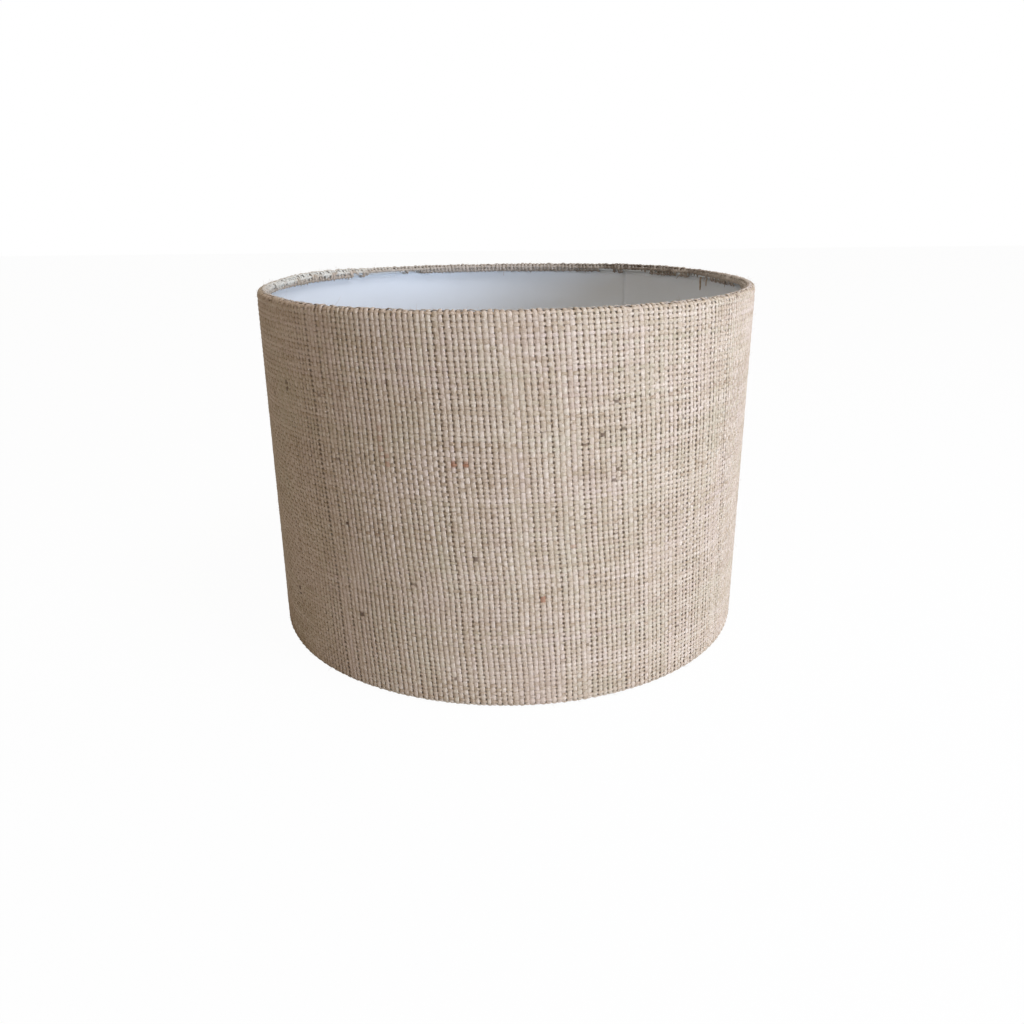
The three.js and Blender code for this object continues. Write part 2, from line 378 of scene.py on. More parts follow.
def paleHem(u, s):
    # painted light: how much lighter the turned-in strip is made on its side that faces the lamps, except
    # for its frayed end
    start = np.clip((s - profile["crest"] + 1 * mm) / (2 * mm), 0, 1)
    patchy = waveField(u, s, 36, 6, 5 * mm, 24 * mm)
    end = np.clip((rawEdge(u, 1) - s) / (1.8 * mm) - 1.6 + 0.6 * patchy, 0, 1)
    return paintedLitSide(u) * start * end


def paintedShadeHem(u, s):
    # painted shade: how much darker the strip is made on its side away from the lamps, and along its
    # frayed end
    away = (angleAt(u) - hem["paintedShadeAngle"]) / hem["paintedShadeSpread"]
    patchy = np.clip(0.75 + 0.45 * waveField(u, 0 * s, 35, 6, 9 * mm, 40 * mm), 0.2, 1)
    paintedShadeSide = np.exp(-away ** 4) * patchy * np.clip((s - profile["crest"] + 1.5 * mm) / (2 * mm), 0, 1)
    edge = np.clip((s - rawEdge(u, 1) + hem["frayDepth"]) / (1.4 * mm), 0, 1)
    most = np.exp(-((angleAt(u) - hem["frayAngle"]) / hem["fraySpread"]) ** 2)
    return np.maximum(paintedShadeSide, edge * (0.5 + 0.4 * most) * (1 - 0.8 * paintedLitSide(u)))


def dustyHem(u, s):
    # 0 on the wall, up to 1 from the upper crest inwards, where the jute is made greyer
    return np.clip((s - profile["crest"] + 0.5 * mm) / (1.5 * mm), 0, 1) * (1 - 0.6 * paintedLitSide(u))


def yarnGirth(along, rng, slubs, slubSize):
    # uneven hand-spun thickness: slow drift, short lumps and a few long slubs
    drift = sum(np.sin(along / rng.uniform(8, 45) / mm + rng.uniform(0, 6.3)) for _ in range(4)) * 0.035
    lumps = np.zeros_like(along)
    for _ in range(rng.poisson(slubs * len(along))):
        centre = rng.uniform(along[0], along[-1])
        size = slubSize * rng.uniform(0.3, 1)
        lumps += size * np.exp(-((along - centre) / rng.uniform(3, 14) / mm) ** 2)
    return 1 + drift + lumps


marks = [
    # specks of bark, russet stretches (fleck below 0) and darker stretches of single yarns:
    # yarn, angle seen from above, height and length in mm, what changes and by how much
    ("weft", 261, 138, 14, "fleck", -1), ("warp", 260, 138, 3, "fleck", -0.9),
    ("warp", 262.3, 138, 3, "fleck", -0.8), ("warp", 245, 147, 18, "fleck", -0.45),
    ("warp", 246, 137, 7, "fleck", -0.6), ("warp", 277, 65, 5, "fleck", -0.9),
    ("weft", 283, 92, 6, "fleck", -0.4), ("weft", 243, 176, 4, "fleck", 0.8),
    ("weft", 247, 178, 2, "fleck", 0.9), ("weft", 235, 97, 2, "fleck", 1),
    ("warp", 213, 41, 5, "fleck", 1), ("warp", 264, 53, 2, "fleck", 1),
    ("weft", 241, 137, 2, "fleck", 0.9), ("weft", 253, 168, 2, "fleck", 1),
    ("warp", 293, 153, 2, "fleck", 0.8), ("warp", 285, 147, 2, "fleck", 0.7),
    ("warp", 292, 98, 3, "fleck", 0.8), ("warp", 217, 166, 6, "fleck", 0.8),
    ("weft", 285, 161, 22, "tone", -3.0), ("weft", 278, 189, 20, "tone", -2.0),
    ("warp", 282, 176, 28, "tone", -1.8), ("warp", 276, 168, 22, "tone", -1.8),
    ("warp", 289, 115, 92, "tone", -1.5), ("weft", 280, 28, 16, "tone", -2.5),
    ("weft", 239, 95, 42, "tone", -2.5), ("weft", 249, 68, 28, "tone", -1.8),
    ("weft", 236, 172, 20, "tone", -2.5), ("weft", 251, 155, 16, "tone", -1.6),
]


def addMarks(yarn, number, along, across, tone, fleck):
    # along is where each point of this yarn lies, across turns a mark's place into a yarn number
    for kind, angle, height, length, change, amount in marks:
        s0 = height * mm - shadeHeight / 2
        if kind != yarn or across(uAt(math.radians(angle)), s0) != number:
            continue
        centre = s0 if yarn == "warp" else uAt(math.radians(angle))
        near = np.abs(along - centre) < length * mm / 2
        tone += near * (amount if change == "tone" else 0)
        fleck[near] = amount if change == "fleck" else 0


def warpNumber(u, s):
    return math.floor((u - weave["lean"] * s) / warpPitch)


def weftNumber(u, s):
    return round(s / weave["weftPitch"])


def addRun(yarns, **values):
    # one more yarn or stretch of yarn: its line, directions, sizes and colour values
    for key, value in values.items():
        yarns.setdefault(key, []).append(value)


def addRuns(yarns, inside, along, step, tip, gain, width, thick, **values):
    # every stretch of a yarn where inside is true, with ends that grow from tip by gain a step
    for first, last in runsOf(inside, 4):
        part = slice(first, last)
        fromEnd = np.minimum(along - along[first], along[last - 1] - along)[part]
        ends = np.clip(fromEnd / step * gain + tip, 0, 1)
        addRun(yarns, width=width[part] * ends, thick=thick[part] * ends,
               **{key: value[part] for key, value in values.items()})


def weaveWarp():
    rng = np.random.default_rng(41)
    step = weave["weftPitch"] / weave["stepsPerPitch"]
    reach = math.ceil((profile["crest"] + 16 * mm) / step)
    s = np.arange(-reach, reach + 1) * step
    yarns = {}
    for i in range(-6, weave["warpCount"] + 6):
        straight = (i + 0.5) * warpPitch + weave["lean"] * s
        wander = weave["warpWander"] * waveField(straight, s, 51, 8, 30 * mm, 120 * mm)
        u = straight + rng.normal(0, 0.06) * warpPitch + wander
        u = u + weave["warpWobble"] * np.sin(s / rng.uniform(3, 7) / mm + rng.uniform(0, 6.3))
        middle = (i + 0.5) * warpPitch
        low = -hemEnd(middle - weave["lean"] * profile["crest"], -1) - rng.exponential(hem["fringe"])
        high = hemEnd(middle + weave["lean"] * profile["crest"], 1) + rng.exponential(hem["fringe"])
        wave = crimp(s / weave["weftPitch"] + i)
        pitch = weave["weftPitch"]
        past = np.maximum(s - high + pitch, low + pitch - s) / pitch
        held = np.clip(1 - past, 0.15, 1)
        curl = np.clip(past, 0, 3) ** 2 * rng.normal(0.12, 0.3) * mm
        turned = atRim(s)
        lump = turned * weave["rimLumps"] * lumpsAlong(len(s), rng)
        lump = lump * np.where(s < 0, weave["baseLumps"], 1)
        lift = weave["warpCrimp"] * (1 + 0.8 * turned) * wave * held + curl + lump
        place, normal, alongU, _ = onCloth(u, s, lift)
        girth = yarnGirth(s, rng, 0.0025, 0.24) * np.clip(rng.normal(1, 0.055), 0.85, 1.18)
        girth = girth * (1 - 0.16 * turned)
        width = weave["warpHalfWidth"] * girth * (1 + 0.05 * wave)
        thick = weave["warpHalfThick"] * girth ** 0.6 * (1 + 0.06 * wave)
        tone = rng.normal(0, 0.3) + 0.5 * np.sin(s / rng.uniform(4, 20) / mm + rng.uniform(0, 6.3))
        # the 0.2 * wave term is painted light and shade: lighter on the floats, darker where the yarn
        # dips under a weft yarn
        tone = tone + rng.normal(0, weave["speckle"], len(s)) * (1 + 0.6 * turned) + 0.2 * wave
        tone = tone + weave["rimTone"] * turned
        hue = rng.normal(0, 0.35) + 0.6 * np.sin(s / rng.uniform(8, 40) / mm + rng.uniform(0, 6.3))
        fleck = fleckMask(len(s), rng, 0.0007)
        addMarks("warp", i, s, warpNumber, tone, fleck)
        inside = (u > 0) & (u < seamLength) & (s > low) & (s < high)
        addRuns(yarns, inside, s, step, 0.35, 0.35, width, thick, centre=place, across=-alongU,
                outward=normal, tone=tone, hue=hue, fleck=fleck, pale=paleHem(u, s) - paintedShadeHem(u, s),
                dust=dustyHem(u, s))
    return finishYarns("jute_warp", yarns)


def weaveWeft():
    rng = np.random.default_rng(42)
    step = warpPitch / weave["stepsPerPitch"]
    spare = 6 * weave["stepsPerPitch"]
    grid = np.arange(-spare, weave["warpCount"] * weave["stepsPerPitch"] + spare + 1) * step
    rows = int((profile["crest"] + 16 * mm) / weave["weftPitch"])
    dive = np.abs(np.sin(math.pi * (grid / warpPitch - 0.5))) ** 3
    yarns = {}
    for j in range(-rows, rows + 1):
        s0 = j * weave["weftPitch"]
        u = grid + weave["lean"] * s0
        edge = rawEdge(u, 1 if j >= 0 else -1)
        inside = (np.abs(s0) + 0.35 * weave["weftPitch"] < edge) & (u > 0) & (u < seamLength)
        girth = yarnGirth(grid, rng, 0.003, 0.3) * np.clip(rng.normal(1, 0.07), 0.8, 1.22)
        tone = rng.normal(0, 0.5) + 0.7 * np.sin(grid / rng.uniform(9, 60) / mm + rng.uniform(0, 6.3))
        hue = rng.normal(0, 0.6) + 0.6 * np.sin(grid / rng.uniform(20, 90) / mm + rng.uniform(0, 6.3))
        s = (s0 + rng.normal(0, 0.05) * weave["weftPitch"]
             + weave["weftWander"] * waveField(u, s0, 61, 8, 40 * mm, 160 * mm))
        wave = -crimp(grid / warpPitch - 0.5 + j)
        fold = weave["lapFold"] * np.clip(1 - (seamLength - u) / (1.6 * mm), 0, 1) ** 2
        lump = 0.6 * atRim(s) * weave["rimLumps"] * lumpsAlong(len(grid), rng)
        lump = lump * np.where(s < 0, weave["baseLumps"], 1)
        place, normal, _, alongS = onCloth(u, s, weave["weftCrimp"] * wave - fold + lump)
        width = weave["weftHalfWidth"] * girth * (1 + 0.04 * wave) * (1 - weave["weftNarrow"] * dive)
        thick = weave["weftHalfThick"] * girth ** 0.6
        tone = tone + rng.normal(0, weave["speckle"], len(grid)) + 0.6 * (girth - 1) - 0.3
        # the dive term is painted shade in the grooves between warp yarns
        tone = tone - weave["diveShade"] * dive + weave["rimTone"] * atRim(s)
        fleck = fleckMask(len(grid), rng, 0.0008)
        addMarks("weft", j, u, weftNumber, tone, fleck)
        addRuns(yarns, inside, u, step, 0.4, 0.3, width, thick, centre=place, across=alongS,
                outward=normal, tone=tone, hue=hue, fleck=fleck, pale=paleHem(u, s) - paintedShadeHem(u, s),
                dust=dustyHem(u, s))
    return finishYarns("jute_weft", yarns)


def runsOf(inside, shortest):
    # (first, last) index pairs of the stretches where inside is true
    change = np.flatnonzero(np.diff(np.concatenate([[0], inside.astype(int), [0]])))
    return [(a, b) for a, b in zip(change[::2], change[1::2]) if b - a >= shortest]


def fleckMask(count, rng, share):
    # short stretches of bark left on the fibre
    mask = np.zeros(count)
    for start in np.flatnonzero(rng.random(count) < share):
        mask[start:start + rng.integers(1, 4)] = rng.uniform(0.3, 1)
    return mask


def finishYarns(name, yarns):
    piece = sweepYarns(name, yarns, weave["section"])
    for value in ("tone", "hue", "fleck", "pale", "dust"):
        addPointValues(piece, value, np.repeat(np.concatenate(yarns[value]), len(weave["section"])))
    layYarnMap(piece, yarns)
    return piece


def layYarnMap(piece, yarns):
    # each yarn is one strip of the map, side by side, so that colours bake along it
    sides = len(weave["section"])
    longest = max(len(c) for c in yarns["centre"])
    strips = len(yarns["centre"])
    corners = []
    for k, centre in enumerate(yarns["centre"]):
        steps = len(centre)
        i, j = np.meshgrid(np.arange(steps - 1), np.arange(sides), indexing="ij")
        left, right = (k + 0.06 + 0.88 * j / sides) / strips, (k + 0.06 + 0.88 * (j + 1) / sides) / strips
        low, high = (i + 0.5) / (longest + 1), (i + 1.5) / (longest + 1)
        corners.append(np.stack([left, low, right, low, right, high, left, high], -1).reshape(-1))
    ends = []
    for k, centre in enumerate(yarns["centre"]):
        ring = (k + 0.06 + 0.88 * np.arange(sides) / sides) / strips
        for row, order in ((0.5, ring[::-1]), (len(centre) - 0.5, ring)):
            ends.append(np.stack([order, np.full(sides, row / (longest + 1))], -1).reshape(-1))
    layer = piece.data.uv_layers.new(name="OFBake")
    layer.data.foreach_set("uv", np.concatenate(corners + ends).astype(np.float32))


# Loose fibres and threads

fuzz = {
    "wallCount": 2200,
    "rimCount": 1100,
    "radius": 0.045 * mm,
    "wallLength": (0.8 * mm, 3 * mm),
    "rimLength": (0.8 * mm, 3.5 * mm),
    "steps": 5,
}
threads = [
    # ends that hang inside: angle seen from above, drop of root and tip below the rim, sideways
    # lean and radius in mm
    (23.8, 4.0, 13.0, -0.9, 0.72), (20.8, 4.0, 9.6, 0.5, 0.50), (22.2, 4.6, 7.2, -1.2, 0.24),
    (11.0, 4.6, 8.3, 0.3, 0.26), (31.0, 1.6, 7.4, 7.5, 0.30), (82.0, 5.0, 7.6, 0.4, 0.22),
    (90.6, 5.0, 9.4, -0.3, 0.13), (106.5, 5.0, 7.4, 0.9, 0.16), (214.0, 5.0, 9.9, -1.5, 0.2),
    (262.0, 5.0, 12.0, 1.1, 0.22), (318.0, 5.0, 9.0, -0.7, 0.2),
]
strandSection = unitCircle(5)
fibreSection = unitCircle(3)


def strandFrames(line):
    # two directions square to a strand, for its section
    along = np.gradient(line, axis=0)
    along /= np.linalg.norm(along, axis=1)[:, None]
    helper = np.where(np.abs(along[:, 2:3]) > 0.9, [[1.0, 0, 0]], [[0, 0, 1.0]])
    across = np.cross(helper, along)
    across /= np.linalg.norm(across, axis=1)[:, None]
    return across, np.cross(along, across)


def makeFuzz():
    rng = np.random.default_rng(71)
    count = fuzz["wallCount"] + fuzz["rimCount"]
    onRim = np.arange(count) >= fuzz["wallCount"]
    u = rng.uniform(0, seamLength, count)
    s = rng.uniform(-profile["crest"], profile["crest"], count)
    nearRim = profile["crest"] + rng.normal(1, 3, count) * mm
    s = np.where(onRim, nearRim * np.where(rng.random(count) < 0.7, 1, -1), s)
    place, normal, alongU, alongS = onCloth(u, s, 0.5 * mm)
    rimLengths, wallLengths = (rng.uniform(*fuzz[key], count) for key in ("rimLength", "wallLength"))
    lengths = np.where(onRim, rimLengths, wallLengths)
    heading = rng.uniform(0, 2 * math.pi, count)[:, None]
    lift = np.clip(rng.normal(0.35, 0.28, count), 0.05, 1.2)[:, None]
    start = alongU * np.cos(heading) + alongS * np.sin(heading) + normal * lift
    start /= np.linalg.norm(start, axis=1)[:, None]
    bend = rng.normal(0, 1, (count, 3)) * 0.8 - normal * 0.35
    t = np.linspace(0, 1, fuzz["steps"])
    yarns = {}
    for k in range(count):
        line = place[k] + lengths[k] * (t[:, None] * start[k] + 0.5 * t[:, None] ** 2 * bend[k])
        line[:, 2] = np.maximum(line[:, 2], cadLow.z + fuzz["radius"])
        across, outward = strandFrames(line)
        taper = fuzz["radius"] * rng.uniform(0.7, 1.5) * (1 - 0.6 * t)
        addRun(yarns, centre=line, across=across, outward=outward, width=taper, thick=taper)
    piece = sweepYarns("jute_fuzz", yarns, fibreSection)
    tones = np.repeat(rng.normal(0.3, 0.8, count), fuzz["steps"] * len(fibreSection))
    addPointValues(piece, "tone", tones)
    return piece


def makeThreads():
    rng = np.random.default_rng(72)
    wall = linerOuter - linerThickness
    yarns = {}
    for place, root, tip, lean, thickness in threads:
        t = np.linspace(0, 1, 14)
        drop = (root + (tip - root) * t) * mm
        angle = math.radians(place) + lean * mm * t / wall
        angle = angle + 0.25 * mm / wall * np.sin(t * rng.uniform(4, 8) + rng.uniform(0, 6))
        radius = wall - (1.5 + 0.9 * np.sin(t * 2.2)) * mm
        line = np.stack([radius * np.cos(angle), radius * np.sin(angle), shadeHeight - drop], 1)
        across, outward = strandFrames(line)
        size = thickness * mm * (1 - 0.35 * t ** 3) * (1 + 0.12 * np.sin(t * 19))
        addRun(yarns, centre=line, across=across, outward=outward, width=size, thick=size)
    piece = sweepYarns("loose_threads", yarns, strandSection)
    addPointValues(piece, "tone", np.full(len(piece.data.vertices), -0.6))
    return piece


# Liner: one thin plastic sheet, lapped at the seam

linerSheet = {
    "lap": 10 * mm,
    "lapRise": 0.35 * mm,
    "lapRamp": 14 * mm,
    "edgeAngle": math.radians(53),  # where its inner end shows
    "around": 420,
    "rows": 44,
    "unevenness": 0.16 * mm,
}


def makeLiner():
    # the wall's outer and inner faces, from one lapped end to the other
    inner = linerOuter - linerThickness
    length = 2 * math.pi * inner + linerSheet["lap"]
    u = np.linspace(0, length, linerSheet["around"])[:, None]
    low, high = linerLow.z, linerHigh.z
    z = np.linspace(low, high, linerSheet["rows"])[None, :]
    lapStart = length - linerSheet["lap"] - linerSheet["lapRamp"]
    rise = np.clip((u - lapStart) / linerSheet["lapRamp"], 0, 1)
    radius = inner - linerSheet["lapRise"] * rise * rise * (3 - 2 * rise)
    radius = radius - linerSheet["unevenness"] * (1 + waveField(u, z, 81, 6, 60 * mm, 240 * mm)) / 2
    angle = linerSheet["edgeAngle"] - (length - u) / inner
    radius = radius + rimSway(uAt(angle), z - shadeHeight / 2)[0]  # it follows the cloth
    faces = []
    thin = np.clip((length - u) / (2 * mm), 0.12, 1)  # the end is shaved thin
    for extra in (0, linerThickness):
        r = radius + extra * thin
        faces.append(np.stack([r * np.cos(angle) + 0 * z, r * np.sin(angle) + 0 * z, z + 0 * u], -1))
    piece = closedSheet("liner_sheet", faces[0], faces[1])
    addPointValues(piece, "glued", np.repeat([0.0, 1.0], faces[0].size // 3))
    return piece


def closedSheet(name, inside, outside):
    # two grids of points, alike in size, joined along their four edges
    n, m = inside.shape[:2]
    points = np.concatenate([inside.reshape(-1, 3), outside.reshape(-1, 3)])
    i, j = np.meshgrid(np.arange(n - 1), np.arange(m - 1), indexing="ij")
    cell = np.stack([i * m + j, i * m + j + 1, (i + 1) * m + j + 1, (i + 1) * m + j], -1).reshape(-1, 4)
    far = n * m
    quads = [cell, cell[:, ::-1] + far]
    row, column = np.arange(m), np.arange(n) * m
    for edge in (row, (n - 1) * m + row[::-1], column[::-1], column + m - 1):
        quads.append(np.stack([edge[:-1], edge[:-1] + far, edge[1:] + far, edge[1:]], -1))
    return meshFromArrays(name, points, np.concatenate(quads))


# Wire frame and fitter

fitter = {
    "foot": 7 * mm,
    "shoulder": 8 * mm,
    "bend": 6 * mm,
    "armInset": 1.5 * mm,
    "weldReach": 2.2 * mm,
    "weldSwell": 0.85 * mm,
    "pressed": 0.3 * mm,  # flattened by this much each way where it is welded under the washer
    "pressedOver": 4 * mm,
    "washerWidth": 7 * mm,
    "washerRounding": 0.45 * mm,
    "around": 192,
    "wireSides": 14,
}
holeRadius = washerHigh.x - fitter["washerWidth"]  # which the reducer's spigot fits


def makeRing(name, node):
    low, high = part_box(node)
    wire = [(ringRadius + wireRadius * c, wireRadius * d) for c, d in unitCircle(fitter["wireSides"])]
    middle = (low.z + high.z) / 2
    piece = turnedMesh(name, wire, fitter["around"], middle)
    points = np.empty(len(piece.data.vertices) * 3, np.float32)
    piece.data.vertices.foreach_get("co", points)
    points = points.reshape(-1, 3)
    turn = np.arctan2(points[:, 1], points[:, 0])
    sway = rimSway(uAt(turn), np.full(len(turn), middle - shadeHeight / 2))[0]  # bent with the cloth
    points[:, 0] += sway * np.cos(turn)
    points[:, 1] += sway * np.sin(turn)
    piece.data.vertices.foreach_set("co", points.ravel())
    return piece


def armLine():
    # radius and height of an arm: level at the ring, a climb, and level under the washer
    foot = baseRingLow.z + wireRadius
    seat = washerLow.z - wireRadius
    hole = holeRadius + fitter["armInset"]
    corners = np.array([
        [ringRadius - 0.4 * mm, foot],
        [ringRadius - wireRadius - fitter["foot"], foot],
        [washerHigh.x + fitter["shoulder"], seat],
        [hole, seat],
    ])
    line = [corners[0]]
    for before, corner, after in zip(corners[:-2], corners[1:-1], corners[2:]):
        start = corner + (before - corner) / np.linalg.norm(before - corner) * fitter["bend"]
        end = corner + (after - corner) / np.linalg.norm(after - corner) * fitter["bend"]
        for t in np.linspace(0, 1, 9):
            line.append((1 - t) ** 2 * start + 2 * t * (1 - t) * corner + t * t * end)
    line.append(corners[-1])
    return spacedLine(np.array(line), 1.2 * mm)


def spacedLine(line, step):
    along = np.concatenate([[0], np.cumsum(np.linalg.norm(np.diff(line, axis=0), axis=1))])
    at = np.linspace(0, along[-1], int(along[-1] / step) + 2)
    return np.stack([np.interp(at, along, line[:, k]) for k in range(line.shape[1])], 1)


def makeArm(number, angle):
    flat = armLine()
    line = np.stack([flat[:, 0] * math.cos(angle), flat[:, 0] * math.sin(angle), flat[:, 1]], 1)
    across, outward = strandFrames(line)
    fromRing = ringRadius - flat[:, 0]
    swell = fitter["weldSwell"] * np.exp(-(fromRing / fitter["weldReach"]) ** 2)
    pressed = np.clip((washerHigh.x - flat[:, 0]) / fitter["pressedOver"], 0, 1) * fitter["pressed"]
    width = wireRadius + swell + pressed
    thick = wireRadius + swell - pressed
    arm = {"centre": [line], "across": [across], "outward": [outward], "width": [width], "thick": [thick]}
    return sweepYarns(f"arm_wire_{number}", arm, unitCircle(fitter["wireSides"]))


def roundedBox(left, right, low, high, radius, steps=4):
    # anticlockwise section of a ring with rounded edges
    points = []
    for cx, cz, start in ((right - radius, low + radius, -90), (right - radius, high - radius, 0),
                          (left + radius, high - radius, 90), (left + radius, low + radius, 180)):
        for k in range(steps + 1):
            a = math.radians(start + 90 * k / steps)
            points.append((cx + radius * math.cos(a), cz + radius * math.sin(a)))
    return points


def makeWasher():
    section = roundedBox(holeRadius, washerHigh.x, washerLow.z, washerHigh.z, fitter["washerRounding"])
    return turnedMesh("washer_ring", section, fitter["around"])


reducerRing = {
    "flange": 2 * mm,
    "clearance": 0.4 * mm,
    "bore": 14.5 * mm,  # radius
    "lip": 2.9 * mm,  # raised edge inside and outside a shallow dish
    "dish": 0.5 * mm,
}


def makeReducer():
    spigot, bore = holeRadius - reducerRing["clearance"], reducerRing["bore"]
    lip, dish = reducerRing["lip"], reducerRing["dish"]
    top, base, outer = reducerHigh.z, reducerLow.z, reducerHigh.x
    seat = top - reducerRing["flange"]
    section = [
        (spigot - 0.5 * mm, base), (spigot, base + 0.6 * mm), (spigot, seat),
        (outer - 0.3 * mm, seat), (outer, seat + 0.3 * mm),
        (outer, top - 0.7 * mm), (outer - 0.25 * mm, top - 0.25 * mm), (outer - 0.7 * mm, top),
        (outer - lip + 0.3 * mm, top), (outer - lip, top - dish),
        (bore + lip + 0.3 * mm, top - dish), (bore + lip, top),
        (bore + 0.5 * mm, top), (bore, top - 0.5 * mm), (bore, base + 0.4 * mm), (bore + 0.4 * mm, base),
    ]
    return turnedMesh("reducer_moulding", section, fitter["around"])


# Materials

def newMaterial(name):
    material = bpy.data.materials.new(name)
    material.use_nodes = True
    return material, material.node_tree, material.node_tree.nodes["Principled BSDF"]


def addNode(tree, kind, **values):
    node = tree.nodes.new(kind)
    for key, value in values.items():
        setattr(node, key, value)
    return node


def setInputs(node, values):
    for key, value in values.items():
        node.inputs[key].default_value = value


def linkInputs(tree, node, sources):
    for source, socket in zip(sources, node.inputs):
        tree.links.new(source, socket)


def addNoise(tree, vector, scale, detail, roughness):
    noise = tree.nodes.new("ShaderNodeTexNoise")
    setInputs(noise, {"Scale": scale, "Detail": detail, "Roughness": roughness})
    tree.links.new(vector, noise.inputs["Vector"])
    return noise.outputs["Fac"]


def addRamp(tree, factor, stops):
    ramp = tree.nodes.new("ShaderNodeValToRGB")
    while len(ramp.color_ramp.elements) < len(stops):
        ramp.color_ramp.elements.new(0.5)
    for element, (place, colour) in zip(ramp.color_ramp.elements, stops):
        element.position = place
        element.color = (*colour, 1)
    tree.links.new(factor, ramp.inputs["Fac"])
    return ramp.outputs["Color"]


def addMath(tree, operation, first, second=None, clamp=False):
    node = addNode(tree, "ShaderNodeMath", operation=operation, use_clamp=clamp)
    for socket, value in zip(node.inputs, (first, second)):
        if value is None:
            continue
        if isinstance(value, (int, float)):
            socket.default_value = value
        else:
            tree.links.new(value, socket)
    return node.outputs[0]


def addMix(tree, factor, first, second):
    node = addNode(tree, "ShaderNodeMix", data_type="RGBA")
    for socket, value in ((node.inputs[0], factor), (node.inputs[6], first), (node.inputs[7], second)):
        if isinstance(value, tuple):
            socket.default_value = (*value, 1)
        else:
            tree.links.new(value, socket)
    return node.outputs[2]


def addBump(tree, height, strength, distance, shader):
    bump = tree.nodes.new("ShaderNodeBump")
    setInputs(bump, {"Strength": strength, "Distance": distance})
    tree.links.new(height, bump.inputs["Height"])
    tree.links.new(bump.outputs["Normal"], shader.inputs["Normal"])


def objectPlace(tree):
    return tree.nodes.new("ShaderNodeTexCoord").outputs["Object"]


def pointValue(tree, name):
    return addNode(tree, "ShaderNodeAttribute", attribute_name=name).outputs["Fac"]


def centred(tree, noise, amount):
    # a noise swung evenly about zero
    return addMath(tree, "MULTIPLY", addMath(tree, "SUBTRACT", noise, 0.5), amount)


def drumVector(tree, aroundScale, upScale, twist=0.0):
    # (distance round the drum, height, depth), so that streaks can follow the yarns and their twist
    split = tree.nodes.new("ShaderNodeSeparateXYZ")
    tree.links.new(objectPlace(tree), split.inputs[0])
    angle = addMath(tree, "ARCTAN2", split.outputs["Y"], split.outputs["X"])
    arc = addMath(tree, "MULTIPLY", angle, shadeRadius)
    height = split.outputs["Z"]
    arcTwist = addMath(tree, "MULTIPLY", height, twist if aroundScale > upScale else 0.0)  # runs up
    upTwist = addMath(tree, "MULTIPLY", arc, twist if aroundScale < upScale else 0.0)  # runs round
    around = addMath(tree, "MULTIPLY", addMath(tree, "ADD", arc, arcTwist), aroundScale)
    up = addMath(tree, "MULTIPLY", addMath(tree, "ADD", height, upTwist), upScale)
    squares = [addMath(tree, "MULTIPLY", split.outputs[axis], split.outputs[axis]) for axis in "XY"]
    depth = addMath(tree, "SQRT", addMath(tree, "ADD", *squares))
    joined = tree.nodes.new("ShaderNodeCombineXYZ")
    linkInputs(tree, joined, (around, up, depth))
    return joined.outputs[0]


juteColours = {
    "dark": (0.290, 0.188, 0.106),
    "mid": (0.475, 0.350, 0.240),
    "light": (0.650, 0.520, 0.402),
    "dust": (0.490, 0.440, 0.390),
    # painted light on the turned-in strip's side that faces the lamps
    "pale": (0.740, 0.700, 0.610),
    # painted shade on the turned-in strip, away from the lamps and along its raw edge
    "paintedShade": (0.150, 0.108, 0.076),
    "pink": (0.575, 0.430, 0.355),
    "green": (0.450, 0.378, 0.250),
    "bark": (0.080, 0.038, 0.015),
    "russet": (0.300, 0.110, 0.045),
}

# what is laid over the yarns' own colour, painted light and shade on the turned-in strip among it: point
# value, how much of it, and its colour
juteLayers = [
    ("tint", 0.6, "pink"), ("tint", -0.6, "green"), ("fleck", 0.85, "bark"), ("fleck", -0.8, "russet"),
    ("dust", 0.6, "dust"), ("pale", 0.9, "pale"), ("pale", -0.8, "paintedShade"),
]
juteTones = {"level": 0.585, "yarn": 0.10, "streaks": 0.8, "knots": 0.75, "patches": 0.55, "tint": 2.2,
             "hue": 0.35, "twist": 0.45}
juteSurface = {"Roughness": 0.82, "Specular IOR Level": 0.3, "Sheen Weight": 0.18, "Sheen Roughness": 0.4,
               "Sheen Tint": (0.90, 0.87, 0.84, 1)}


def juteMaterial(name, aroundScale, upScale, woven=True):
    # aroundScale and upScale set which way the fibres' streaks run
    material, tree, shader = newMaterial(name)
    place = objectPlace(tree)
    streaks = addNoise(tree, drumVector(tree, aroundScale, upScale, juteTones["twist"]), 1.0, 3, 0.65)
    knots = addNoise(tree, place, 950, 3, 0.65)
    patches = addNoise(tree, drumVector(tree, 34, 270), 1.0, 3, 0.6)
    yarnShare = addMath(tree, "MULTIPLY", pointValue(tree, "tone"), juteTones["yarn"])
    streakShare = centred(tree, streaks, juteTones["streaks"])
    uneven = addMath(tree, "ADD", centred(tree, knots, juteTones["knots"]),
                     centred(tree, patches, juteTones["patches"]))
    uneven = addMath(tree, "ADD", uneven, addMath(tree, "ADD", streakShare, juteTones["level"]))
    colour = addRamp(tree, addMath(tree, "ADD", yarnShare, uneven, True), [
        (0.08, juteColours["dark"]), (0.45, juteColours["mid"]), (0.86, juteColours["light"]),
    ])
    tint = centred(tree, addNoise(tree, place, 26, 3, 0.6), juteTones["tint"])
    if woven:
        hueShare = addMath(tree, "MULTIPLY", pointValue(tree, "hue"), juteTones["hue"])
        tint = addMath(tree, "ADD", tint, hueShare)
    for layer, share, over in juteLayers:
        if woven or layer == "tint":
            value = tint if layer == "tint" else pointValue(tree, layer)
            amount = addMath(tree, "MULTIPLY", value, share, True)
            colour = addMix(tree, amount, colour, juteColours[over])
    tree.links.new(colour, shader.inputs["Base Color"])
    setInputs(shader, juteSurface)
    addBump(tree, addMath(tree, "ADD", streaks, knots), 0.75, 0.35 * mm, shader)
    return material


